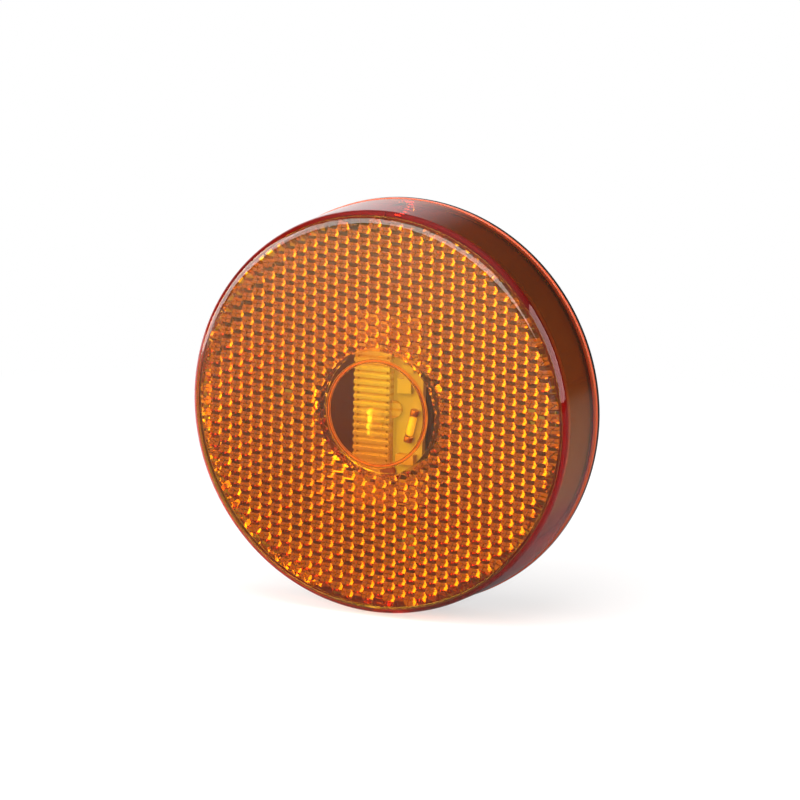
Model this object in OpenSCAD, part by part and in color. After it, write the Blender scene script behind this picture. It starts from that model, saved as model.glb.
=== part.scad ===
// Round side marker lamp with a reflex reflector.
// A clip-on amber cover carries a ring of corner prisms behind its face and fits over a black base.
// In the base, a board with one light source and a fluted bar stands behind the cover's clear window.
// The lamp's axis is Y, its face looks towards -Y and +Z is up. The origin is the middle of the flat back.

/* [Cover] */
// Radius of the cover's front rim
lamp_r = 32.5; // [31:0.5:40]
// Depth of the whole lamp, from its back to its face
lamp_depth = 14; // [12.5:0.5:20]
// Thickness of the cover's face
face_t = 1.1; // [0.9:0.1:1.6]
// Thickness of the cover's skirt at the face
skirt_t = 0.85; // [0.8:0.05:1.6]
// How much wider the skirt is at its rear edge, outside
skirt_draft = 0.45; // [0.1:0.05:1]
// How much wider the skirt is at its rear edge, inside
skirt_inner_draft = 0.2; // [0:0.05:0.3]
// Radius of the rounded front rim
rim_round = 2; // [0.8:0.1:2.2]
// Mid radius of the collar round the clear window
collar_r = 8.5; // [7:0.1:9]
// Thickness of the collar
collar_t = 0.5; // [0.4:0.05:0.8]
// How far the collar stands back from the face
collar_h = 0.8; // [0.4:0.1:1.4]
// Width of the two key ribs, at 12 and 6 o'clock
rib_w = 2.2; // [1.6:0.1:3]

/* [Reflector] */
// Thickness of the reflector plate, without its prisms
insert_t = 1; // [0.8:0.05:1.4]
// Thin air gap between the plate and the cover's face
insert_gap = 0.05; // [0.02:0.01:0.1]
// Gap between the plate's edge and the skirt
insert_edge_gap = 0.35; // [0.3:0.05:0.8]
// Plain border of the plate, outside the prisms
insert_border = 0.1; // [0.05:0.05:2]
// Radius of the round hole behind the window
window_r = 10.1; // [9.6:0.1:12]
// Width of the plate's two locating tabs
tab_w = 2.3; // [1.6:0.1:3]
// Distance between the prisms of one column
prism_pitch = 1.944; // [1.8:0.002:2.6]
// Angle by which the prisms lean towards +X, so that the lamp shines back to the side
prism_cant = 23.5; // [14:0.5:30]
// Sideways shift of the prism pattern
pattern_x = 0; // [-1:0.05:1]
// Upward shift of the prism pattern
pattern_y = 0; // [-1:0.05:1]

/* [Base] */
// Thickness of the flange behind the cover's edge
flange_t = 1.5; // [1.2:0.1:1.8]
// How far the flange stands out from the cover's edge
flange_lip = 0.1; // [0:0.05:0.5]
// Thickness of the floor
floor_t = 2; // [1.9:0.1:3]
// Thickness of the wall inside the cover
wall_t = 0.95; // [0.8:0.05:1.2]
// Gap between the wall and the skirt
wall_gap = 0.25; // [0.2:0.05:0.4]
// Gap between the wall and the tips of the prisms
wall_top_gap = 0.3; // [0.2:0.05:0.6]
// Gap on each side of a key rib in its slot
rib_gap = 0.3; // [0.2:0.05:0.5]
// Width that the clip window adds to a slot
clip_window_w = 1.7; // [1:0.1:2.5]
// Height of the clip window
clip_window_h = 2.6; // [1.5:0.1:4]
// Distance between the two mounting holes
hole_spacing = 44; // [40:0.5:46]
// Radius of a mounting hole, for an M5 screw
hole_r = 2.75; // [2.2:0.05:3.2]
// Radius of a mounting boss
boss_r = 5; // [4.2:0.1:5.5]
// Height of a mounting boss above the floor
boss_h = 2.5; // [1:0.1:4]
// Height of the rails beside the tray
rail_h = 2.5; // [1:0.1:3]
// Thickness of a rail
rail_t = 0.9; // [0.6:0.1:1.5]
// Length of a rail
rail_len = 20; // [10:1:26]
// Width of the sealing ring and its groove
seal_w = 0.7; // [0.5:0.05:0.8]
// Depth of the sealing groove
seal_depth = 0.7; // [0.4:0.05:0.9]

/* [Cable inlet] */
// Distance of the inlet's middle in from the cover's rim
inlet_edge = 9.5; // [8.5:0.5:11.5]
// Radius of the grommet's bore
inlet_bore_r = 2.25; // [1.5:0.05:2.6]
// Radius of the grommet's neck
grommet_neck_r = 3.5; // [3.2:0.1:4]
// Radius of the grommet's two flanges
grommet_flange_r = 4.6; // [4.3:0.1:5]
// Thickness of the flange that lies in the back
grommet_back_t = 0.8; // [0.5:0.1:1]
// Height of the flange and nose inside the lamp
grommet_front_t = 1.4; // [0.8:0.1:2.5]

/* [Light unit] */
// Width of the board
board_w = 11.4; // [11:0.1:14]
// Height of the board
board_len = 31; // [30:0.5:34]
// Thickness of the board
board_t = 1.2; // [0.8:0.1:1.6]
// Gap between the fluted bar and the tips of the prisms
bar_gap = 0.75; // [0.3:0.05:1]
// Width of the fluted bar
bar_w = 6.35; // [6:0.05:6.6]
// Thickness of the fluted bar, without its flutes
bar_t = 1.35; // [1.3:0.05:1.7]
// Number of flutes
flute_count = 14; // [8:1:16]
// Pitch of the flutes
flute_pitch = 1.19; // [1:0.01:1.25]
// Height of a flute
flute_h = 0.45; // [0.2:0.05:0.5]
// How far the board reaches past the tray on each side
tray_inset = 0.6; // [0.3:0.1:0.8]
// Thickness of the tray's walls and floor
tray_t = 1; // [0.8:0.1:1.3]
// Distance of the tray's pegs from the middle
peg_y = 10.4; // [10:0.1:11]
// Radius of a peg
peg_r = 0.8; // [0.6:0.05:0.9]
// Distance of the tray's screws from the middle
screw_y = 6.5; // [5:0.1:7]
// Radius of a tray screw's shank
screw_r = 1.1; // [0.8:0.05:1.2]
// Radius of a tray screw's head
screw_head_r = 2; // [1.7:0.1:2.2]
// Length of a tray screw under its head
screw_len = 3.4; // [2.5:0.1:3.6]

/* [Hidden] */
$fn = 96;

// The cut of a tool past a face
past = 1;
// Clearance of a push-in or screwed piece
seat_gap = 0.05;

// Corner prisms: each is the end of a six-sided pin that leans by prism_cant. Its three square facets meet at
// right angles in the tip. The pins of a column stand level, and each column is one step further along the
// pins' own direction than the last, so that all the tips lie in one plane.
prism_edge = prism_pitch / sqrt(2);
// An edge's part along its pin, and its part across
edge_along = prism_edge / sqrt(3);
edge_across = prism_edge * sqrt(2 / 3);
column_pitch = edge_across * 3 / 2 / cos(prism_cant);
// Depth to which the prisms are rooted in the plate
prism_root = 0.4;
// Least part of a prism that is made at the edge of the field
prism_least = 0.35;

// A place on a prism, seen from its tip: across its pin towards +X, up, and along its pin
function lean(across, up, along) = [across * cos(prism_cant) + along * sin(prism_cant), up,
    along * cos(prism_cant) - across * sin(prism_cant)];

// The kinds of point on a prism, and where each lies
TIP = 0;
RIDGE = 1;
VALLEY = 2;
STEP = 3;
NOSE = 4;
spots = [[0, 0, 0], lean(-edge_across / 2, prism_pitch / 2, edge_along), lean(-edge_across, 0, 2 * edge_along),
    lean(edge_across / 2, prism_pitch / 2, 2 * edge_along), lean(edge_across, 0, edge_along)];
prism_h = spots[VALLEY].z;

// Heights above the back, from the face down
face_back = lamp_depth - face_t;
insert_front = face_back - insert_gap;
insert_back = insert_front - insert_t;
tip_z = insert_back - prism_h;
bar_top = tip_z - bar_gap;
bar_foot = bar_top - flute_h - bar_t;
// Thin film under the bar
bar_film = 0.1;
board_front = bar_foot - bar_film;
board_z = board_front - board_t;
wall_top = tip_z - wall_top_gap;

// Radii, from the rim in
skirt_rear_r = lamp_r + skirt_draft;
skirt_in_r = lamp_r - skirt_t;
skirt_in_rear_r = skirt_in_r + skirt_inner_draft;
base_r = skirt_rear_r + flange_lip;
wall_r = skirt_in_r - wall_gap;
wall_in_r = wall_r - wall_t;
insert_r = skirt_in_r - insert_edge_gap;
field_r = insert_r - insert_border;
seal_r = (skirt_rear_r + skirt_in_rear_r) / 2;
// Distance of the inlet below the lamp's axis
inlet_drop = lamp_r - inlet_edge;
edge_round = 0.4;
slot_w = rib_w + 2 * rib_gap;
rib_root = 0.4;
tab_edge_gap = 0.1;

// Columns and rows of prisms that can reach the rim
columns = ceil(lamp_r / column_pitch) + 2;
rows = ceil(lamp_r / prism_pitch + columns / 2) + 2;

// The light unit
tray_w = board_w - 2 * tray_inset;
tray_len = board_len - 2 * tray_inset;
bar_x = -board_w / 2;
bar_right = bar_x + bar_w;
bar_lug_w = 1.65;
bar_lug_len = 2.8;
bar_lug_t = 0.8;
// Pegs that hold the board on the tray, set in from the bar's edge
peg_inset = 0.45;
peg_x = bar_right - peg_inset;
peg_gap = 0.1;
peg_head_rim = 0.3;
peg_head_r = peg_r + peg_head_rim;
peg_head_h = 0.5;
peg_post_t = 0.8;
post_r = peg_r + peg_post_t;
// Tray screws, put in from the back
screw_post_t = 1;
screw_post_r = screw_r + screw_post_t;
screw_head_t = 1;
screw_head_gap = 0.3;
screw_hole_gap = 0.2;
screw_sink = 0.1;
cross_w = screw_r / 2;
cross_depth = screw_head_t / 2;
// Places and sizes on the board
led_inset = 2.7;
led_x = bar_x + led_inset;
led_y = -1.5;
led_size = [3.5, 2.8, 0.65];
led_pocket_gap = 0.4;
led_pocket_h = 1.05;
dome_r = 1.1;
dome_h = 0.3;
parts_x = (bar_right + board_w / 2) / 2;
chip_size = [2.5, 2.4, 0.9];
chip_shift = -0.5;
chip_y = 3.95;
resistor_size = [2, 1.25, 0.55];
resistor_y = 6.7;
resistor_gap = 0.4;
suppressor_size = [4.3, 2.6, 1.1];
suppressor_y = 12.9;
capacitor_size = [3.2, 1.6, 1.4];
capacitor_y = -7.9;
diode_r = 0.7;
diode_glass_r = 0.62;
diode_lift = 0.05;
diode_len = 5.4;
diode_cap_len = 0.9;
diode_tilt = 13;
diode_shift = 0.9;
diode_y = -2.4;
solder_r = 0.95;
solder_tip_r = 0.45;
solder_h = 0.8;
solder_y = -11.9;
solder_spacing = 2.6;

// Turns the modelling frame, in which the lamp faces up, to the lamp's own frame
module lamp_frame() {
    rotate([90, 0, 0])
        children();
}

// Repeats at 12 and 6 o'clock
module both_keys() {
    for (turn = [0, 180])
        rotate(turn)
            children();
}

// What is cut off a square corner to round it
module corner_cut(x, z, r) {
    difference() {
        translate([x - r, z - r])
            square(r + past);
        translate([x - r, z - r])
            circle(r);
    }
}

// A flat box that stands on the board, centred at x and y
module on_board(x, y, size) {
    translate([x - size.x / 2, y - size.y / 2, board_front])
        cube(size);
}

// Places in the prism pattern, for column i and row j
function tip(i, j) = [pattern_x + i * column_pitch, pattern_y + (j - i / 2) * prism_pitch, tip_z];
function spot(c) = tip(c[1], c[2]) + spots[c[0]];
function off_axis(c) = norm([spot(c).x, spot(c).y]);

// The six corners of a prism's outline, anticlockwise, each as a kind of point and its column and row
function outline(i, j) = [[RIDGE, i + 1, j], [VALLEY, i + 1, j + 1], [RIDGE, i, j], [VALLEY, i, j],
    [RIDGE, i, j - 1], [VALLEY, i + 1, j]];
// A prism is made where enough of it lies inside the field and some of it lies outside the window
function kept(i, j) = let (reach = [for (c = outline(i, j)) off_axis(c)])
    min(reach) <= field_r - prism_least && max(reach) > window_r;

// The neighbour across each side of the outline, and the step's corner that lies on some sides
function neighbour(i, j, side) = [[i + 1, j + 1], [i, j + 1], [i - 1, j], [i - 1, j - 1], [i, j - 1],
    [i + 1, j]][side];
function on_side(i, j, side) = side == 1 ? [[STEP, i, j]] : side == 4 ? [[STEP, i, j - 1]] : [];

// Number of a point in the list of points, which holds each place of the pattern once on each level
function place(i, j) = (i + columns) * (2 * rows + 1) + j + rows;
places = (2 * columns + 1) * (2 * rows + 1);
function number(c, level) = (level * len(spots) + c[0]) * places + place(c[1], c[2]);

// The three facets of a prism and the two walls of the step to the next column
function facets(i, j) = [
    [[TIP, i, j], [NOSE, i, j], [STEP, i, j], [RIDGE, i, j]],
    [[TIP, i, j], [RIDGE, i, j], [VALLEY, i, j], [RIDGE, i, j - 1]],
    [[TIP, i, j], [RIDGE, i, j - 1], [STEP, i, j - 1], [NOSE, i, j]],
    [[NOSE, i, j], [RIDGE, i + 1, j], [VALLEY, i + 1, j + 1], [STEP, i, j]],
    [[NOSE, i, j], [STEP, i, j - 1], [VALLEY, i + 1, j], [RIDGE, i + 1, j]]];

// One closed solid of all the prisms, tips down, with a flat top inside the plate
module prism_field() {
    kinds = [0 : len(spots) - 1];
    span_i = [-columns : columns];
    span_j = [-rows : rows];
    root_z = insert_back + prism_root;
    cells = [for (i = [-columns + 1 : columns - 1], j = [-rows + 1 : rows - 1]) if (kept(i, j)) [i, j]];
    points = concat(
        [for (kind = kinds, i = span_i, j = span_j) spot([kind, i, j])],
        [for (kind = kinds, i = span_i, j = span_j) let (p = spot([kind, i, j])) [p.x, p.y, root_z]]
    );
    lower = [for (c = cells, f = facets(c.x, c.y)) [for (corner = f) number(corner, 0)]];
    upper = [for (c = cells) let (around = outline(c.x, c.y)) [for (k = [5 : -1 : 0]) number(around[k], 1)]];
    edges = [for (c = cells, k = [0 : 5])
        let (next = neighbour(c.x, c.y, k), around = outline(c.x, c.y), from = around[k], to = around[(k + 1) % 6])
        if (!kept(next.x, next.y))
            concat([number(from, 1), number(to, 1), number(to, 0)],
                [for (corner = on_side(c.x, c.y, k)) number(corner, 0)], [number(from, 0)])];
    polyhedron(points, concat(lower, upper, edges));
}

module base_shell() {
    rotate_extrude()
        difference() {
            polygon([[0, 0], [base_r, 0], [base_r, flange_t], [wall_r, flange_t], [wall_r, wall_top],
                [wall_in_r, wall_top], [wall_in_r, floor_t], [0, floor_t]]);
            mirror([0, 1])
                corner_cut(base_r, 0, edge_round);
            translate([seal_r - seal_w / 2, flange_t - seal_depth])
                square([seal_w, seal_depth + past]);
        }
}

// Slot for a key rib, with the wider clip window at its foot
module wall_slot() {
    translate([-slot_w / 2, wall_in_r - past / 2, floor_t])
        cube([slot_w, wall_t + past, wall_top]);
    translate([-slot_w / 2, wall_in_r - past / 2, floor_t])
        cube([slot_w + clip_window_w, wall_t + past, clip_window_h]);
}

module base() {
    color("#1c1c1e")
        lamp_frame()
            difference() {
                union() {
                    base_shell();
                    for (side = [-1, 1]) {
                        translate([side * hole_spacing / 2, 0, 0])
                            cylinder(r = boss_r, h = floor_t + boss_h);
                        translate([side * (tray_w / 2 + seat_gap + rail_t / 2) - rail_t / 2, -rail_len / 2, 0])
                            cube([rail_t, rail_len, floor_t + rail_h]);
                    }
                }
                both_keys()
                    wall_slot();
                for (side = [-1, 1]) {
                    translate([side * hole_spacing / 2, 0, -past])
                        cylinder(r = hole_r, h = floor_t + boss_h + 2 * past);
                    translate([0, side * screw_y, -past])
                        cylinder(r = screw_head_r + screw_head_gap, h = past + screw_sink + screw_head_t);
                    translate([0, side * screw_y, 0])
                        cylinder(r = screw_r + screw_hole_gap, h = floor_t + past);
                }
                translate([0, -inlet_drop, -past])
                    cylinder(r = grommet_neck_r + seat_gap, h = floor_t + 2 * past);
                translate([0, -inlet_drop, -past])
                    cylinder(r = grommet_flange_r + seat_gap, h = past + grommet_back_t);
            }
}

module lens_seal() {
    color("#2a2a2a")
        lamp_frame()
            rotate_extrude()
                translate([seal_r - seal_w / 2, flange_t - seal_depth])
                    square([seal_w, seal_depth]);
}

module cable_grommet() {
    color("#262626")
        lamp_frame()
            translate([0, -inlet_drop, 0])
                rotate_extrude()
                    difference() {
                        union() {
                            square([grommet_flange_r, grommet_back_t]);
                            square([grommet_neck_r, floor_t]);
                            polygon([[0, floor_t], [grommet_flange_r, floor_t],
                                [grommet_flange_r, floor_t + grommet_front_t / 2],
                                [grommet_neck_r, floor_t + grommet_front_t], [0, floor_t + grommet_front_t]]);
                        }
                        translate([0, -past])
                            square([inlet_bore_r, floor_t + grommet_front_t + 2 * past]);
                    }
}

module lens_cover() {
    color("#e8791c", 0.6)
        lamp_frame() {
            rotate_extrude()
                difference() {
                    polygon([[0, lamp_depth], [lamp_r, lamp_depth], [lamp_r, lamp_depth - rim_round],
                        [skirt_rear_r, flange_t], [skirt_in_rear_r, flange_t], [skirt_in_r, face_back],
                        [collar_r + collar_t / 2, face_back], [collar_r + collar_t / 2, face_back - collar_h],
                        [collar_r - collar_t / 2, face_back - collar_h], [collar_r - collar_t / 2, face_back],
                        [0, face_back]]);
                    corner_cut(lamp_r, lamp_depth, rim_round);
                }
            both_keys()
                translate([-rib_w / 2, wall_in_r, floor_t + rib_gap])
                    cube([rib_w, skirt_in_r + rib_root - wall_in_r, wall_top - floor_t - rib_gap]);
        }
}

module reflex_insert() {
    color("#e0701c", 0.7)
        lamp_frame()
            difference() {
                union() {
                    translate([0, 0, insert_back])
                        cylinder(r = insert_r, h = insert_t);
                    both_keys()
                        translate([-tab_w / 2, field_r, insert_back])
                            cube([tab_w, skirt_in_r - tab_edge_gap - field_r, insert_t]);
                    intersection() {
                        prism_field();
                        translate([0, 0, tip_z - past])
                            cylinder(r = field_r, h = prism_h + insert_t + past);
                    }
                }
                translate([0, 0, tip_z - past])
                    cylinder(r = window_r, h = prism_h + insert_t + 2 * past);
            }
}

module peg_posts(r, z0, z1) {
    for (side = [-1, 1])
        translate([peg_x, side * peg_y, z0])
            cylinder(r = r, h = z1 - z0);
}

module screw_posts(r, z0, z1) {
    for (side = [-1, 1])
        translate([0, side * screw_y, z0])
            cylinder(r = r, h = z1 - z0);
}

module module_tray() {
    color("#242426")
        lamp_frame()
            difference() {
                union() {
                    difference() {
                        translate([-tray_w / 2, -tray_len / 2, floor_t])
                            cube([tray_w, tray_len, board_z - floor_t]);
                        translate([-tray_w / 2 + tray_t, -tray_len / 2 + tray_t, floor_t + tray_t])
                            cube([tray_w - 2 * tray_t, tray_len - 2 * tray_t, board_z]);
                    }
                    peg_posts(post_r, floor_t, board_z);
                    peg_posts(peg_r, floor_t, board_front + peg_head_h);
                    peg_posts(peg_head_r, board_front, board_front + peg_head_h);
                    screw_posts(screw_post_r, floor_t, board_z);
                }
                screw_posts(screw_r + seat_gap, floor_t - past, screw_sink + screw_head_t + screw_len + seat_gap);
            }
}

module tray_screws() {
    color("#c9c9c4")
        lamp_frame()
            for (side = [-1, 1])
                translate([0, side * screw_y, screw_sink])
                    difference() {
                        union() {
                            cylinder(r = screw_head_r, h = screw_head_t);
                            cylinder(r = screw_r, h = screw_head_t + screw_len);
                        }
                        for (turn = [0, 90])
                            rotate(turn)
                                translate([-screw_r, -cross_w / 2, -past])
                                    cube([2 * screw_r, cross_w, past + cross_depth]);
                    }
}

module potting() {
    color("#3a3226")
        lamp_frame()
            difference() {
                translate([-tray_w / 2 + tray_t, -tray_len / 2 + tray_t, floor_t + tray_t])
                    cube([tray_w - 2 * tray_t, tray_len - 2 * tray_t, board_z - floor_t - tray_t]);
                peg_posts(post_r, floor_t, board_z + past);
                screw_posts(screw_post_r, floor_t, board_z + past);
            }
}

module circuit_board() {
    color("#f2efe4")
        lamp_frame()
            difference() {
                translate([-board_w / 2, -board_len / 2, board_z])
                    cube([board_w, board_len, board_t]);
                peg_posts(peg_r + peg_gap, board_z - past, board_front + past);
            }
}

// One flute: a lying rib with round ends
module flute() {
    flute_r = (flute_pitch ^ 2 / 4 + flute_h ^ 2) / (2 * flute_h);
    end_r = flute_pitch / 2;
    intersection() {
        translate([bar_x, 0, bar_top - flute_r])
            rotate([0, 90, 0])
                cylinder(r = flute_r, h = bar_w);
        translate([0, 0, bar_foot + bar_t / 2])
            linear_extrude(bar_t + flute_h)
                union() {
                    translate([bar_x + end_r, -end_r])
                        square([bar_w - 2 * end_r, 2 * end_r]);
                    translate([bar_x + end_r, 0])
                        circle(end_r);
                    translate([bar_right - end_r, 0])
                        circle(end_r);
                }
    }
}

module fluted_bar() {
    color("#f4f1e6", 0.6)
        lamp_frame()
            difference() {
                union() {
                    translate([bar_x, -board_len / 2, bar_foot])
                        cube([bar_w, board_len, bar_t]);
                    for (k = [0 : flute_count - 1])
                        translate([0, (k - (flute_count - 1) / 2) * flute_pitch, 0])
                            flute();
                    translate([bar_right - past, -bar_lug_len / 2, bar_foot])
                        cube([past + bar_lug_w - bar_lug_len / 2, bar_lug_len, bar_lug_t]);
                    translate([bar_right + bar_lug_w - bar_lug_len / 2, 0, bar_foot])
                        cylinder(r = bar_lug_len / 2, h = bar_lug_t);
                }
                translate([led_x - led_size.x / 2 - led_pocket_gap, led_y - led_size.y / 2 - led_pocket_gap,
                    bar_foot - past])
                    cube([led_size.x + 2 * led_pocket_gap, led_size.y + 2 * led_pocket_gap, past + led_pocket_h]);
                peg_posts(peg_head_r + peg_gap, bar_foot - past, bar_top + past);
            }
}

module led_body() {
    color("#fafaf2")
        lamp_frame()
            on_board(led_x, led_y, led_size);
}

module led_dome() {
    color("#f5c542", 0.8)
        lamp_frame()
            translate([led_x, led_y, board_front + led_size.z])
                rotate_extrude()
                    intersection() {
                        square([dome_r, dome_h]);
                        translate([0, dome_h - (dome_r ^ 2 + dome_h ^ 2) / (2 * dome_h)])
                            circle((dome_r ^ 2 + dome_h ^ 2) / (2 * dome_h));
                    }
}

module driver_chip() {
    color("#d8d2c0")
        lamp_frame()
            on_board(parts_x + chip_shift, chip_y, chip_size);
}

module resistors() {
    color("#b5ab94")
        lamp_frame()
            for (k = [0 : 2])
                on_board(parts_x, resistor_y + k * (resistor_size.y + resistor_gap), resistor_size);
}

module suppressor() {
    color("#28282a")
        lamp_frame()
            on_board(parts_x, suppressor_y, suppressor_size);
}

module bulk_capacitor() {
    color("#a08458")
        lamp_frame()
            on_board(parts_x, capacitor_y, capacitor_size);
}

// Places a piece of the lying glass diode, whose length runs along z here
module diode_frame() {
    translate([parts_x + diode_shift, diode_y, board_front + diode_lift + diode_r])
        rotate(-diode_tilt)
            rotate([90, 0, 0])
                children();
}

module glass_diode() {
    color("#e8b84a", 0.8)
        lamp_frame()
            diode_frame()
                cylinder(r = diode_glass_r, h = diode_len - 2 * diode_cap_len, center = true);
}

module diode_caps() {
    color("#d6d6d0")
        lamp_frame()
            diode_frame()
                for (end = [-1, 1])
                    translate([0, 0, end * (diode_len - diode_cap_len) / 2])
                        cylinder(r = diode_r, h = diode_cap_len, center = true);
}

module solder_joints() {
    color("#d9d9d4")
        lamp_frame()
            for (side = [-1, 1])
                translate([parts_x, solder_y + side * solder_spacing / 2, board_front])
                    cylinder(r1 = solder_r, r2 = solder_tip_r, h = solder_h);
}

base();
lens_seal();
cable_grommet();
lens_cover();
reflex_insert();
module_tray();
tray_screws();
potting();
circuit_board();
fluted_bar();
led_body();
led_dome();
driver_chip();
resistors();
suppressor();
bulk_capacitor();
glass_diode();
diode_caps();
solder_joints();
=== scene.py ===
"""Looks of a round amber marker lamp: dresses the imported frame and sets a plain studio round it."""
import math

import bmesh
import bpy
from mathutils import Matrix, Vector


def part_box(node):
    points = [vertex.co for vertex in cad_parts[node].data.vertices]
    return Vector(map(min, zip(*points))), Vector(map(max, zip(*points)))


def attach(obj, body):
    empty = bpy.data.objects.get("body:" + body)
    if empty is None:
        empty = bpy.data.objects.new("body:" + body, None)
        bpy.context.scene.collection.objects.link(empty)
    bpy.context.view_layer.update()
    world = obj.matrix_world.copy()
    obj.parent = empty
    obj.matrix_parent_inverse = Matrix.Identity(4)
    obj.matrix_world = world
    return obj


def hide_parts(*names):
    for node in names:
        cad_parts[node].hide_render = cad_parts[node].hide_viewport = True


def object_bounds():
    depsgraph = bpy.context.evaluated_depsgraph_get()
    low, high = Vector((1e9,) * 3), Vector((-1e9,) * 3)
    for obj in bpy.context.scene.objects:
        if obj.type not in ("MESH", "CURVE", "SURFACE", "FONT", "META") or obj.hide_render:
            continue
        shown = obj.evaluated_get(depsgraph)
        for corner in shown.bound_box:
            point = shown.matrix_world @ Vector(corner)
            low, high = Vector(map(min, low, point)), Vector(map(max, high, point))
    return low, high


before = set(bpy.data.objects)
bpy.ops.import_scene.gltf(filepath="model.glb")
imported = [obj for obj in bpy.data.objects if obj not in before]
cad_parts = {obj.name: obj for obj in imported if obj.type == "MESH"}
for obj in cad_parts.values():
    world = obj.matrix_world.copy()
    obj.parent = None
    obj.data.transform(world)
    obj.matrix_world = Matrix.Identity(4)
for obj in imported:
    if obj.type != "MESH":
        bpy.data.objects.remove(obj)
CAD_BOX = [list(corner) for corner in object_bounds()]

bl_info = {
    "name": "Round Marker Lamp",
    "version": (1, 0, 0),
    "blender": (4, 5, 0),
    "location": "View3D > Sidebar > Marker Lamp",
    "description": "Builds the visible pieces of a round amber marker lamp on its packed frame",
    "category": "Object",
}

LAMP = "lamp"
COVER = "cover"
ROUND = 256

# Small sizes that only the looks need, in millimetres.
FINE_ROUND = 0.05
FILLET = 0.1
EDGE_ROUND = 0.12
FACE_FILLET = 0.2
COLLAR_ROUND = 0.22
RIB_ROUND = 0.15
RIB_ROOT = 0.4
SKIN = 0.03
SKIN_ROUND = 0.04
WELD_H = 0.3
WELD_IN = 0.06
WELD_SLOPE = 0.02
COLLAR_SKIN_H = 0.15
COLLAR_SKIN_IN = 0.16
COVER_EDGE_ROUND = 0.06
PLATE_ROUND = 0.08
TAB_GAP = 0.1
LINING_STEP = 0.06
BACK_ROUND = 0.35
FLOOR_FILLET = 0.3
BOSS_ROUND = 0.25
SCREW_HEAD_R, SCREW_HEAD_T, SCREW_HOLE_R = 2.3, 1.1, 1.3
FIT = 0.05
SEAL_ROUND = 0.25
GROMMET_LIP_T = 0.8
GROMMET_ROUND = 0.2
LUG_R, LUG_T, LUG_OUT = 1.4, 0.8, 0.25
POCKET_H, POCKET_GAP = 1.05, 0.4
PEG_HOLE_R, PEG_IN, PEG_Y = 1.2, 0.45, 10.4
PEG_END = 0.5
CORE_R, CORE_HALF, CORE_TURN = 0.4, 1.25, math.radians(-13)

# How far a tool of a cut or a join reaches past a face, and by how much two close faces are kept apart.
PAST = 1
ROOT = 0.5
HAIR = 0.02


def length(name, text, value):
    return bpy.props.FloatProperty(name=name, description=text, default=value, unit="LENGTH", precision=5)


def colour(name, text, value):
    return bpy.props.FloatVectorProperty(
        name=name, description=text, default=value, size=3, min=0, max=1, subtype="COLOR"
    )


def number(name, text, value):
    return bpy.props.FloatProperty(name=name, description=text, default=value, precision=4)


def angle(name, text, degrees):
    value = math.radians(degrees)
    return bpy.props.FloatProperty(name=name, description=text, default=value, subtype="ANGLE")


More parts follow.
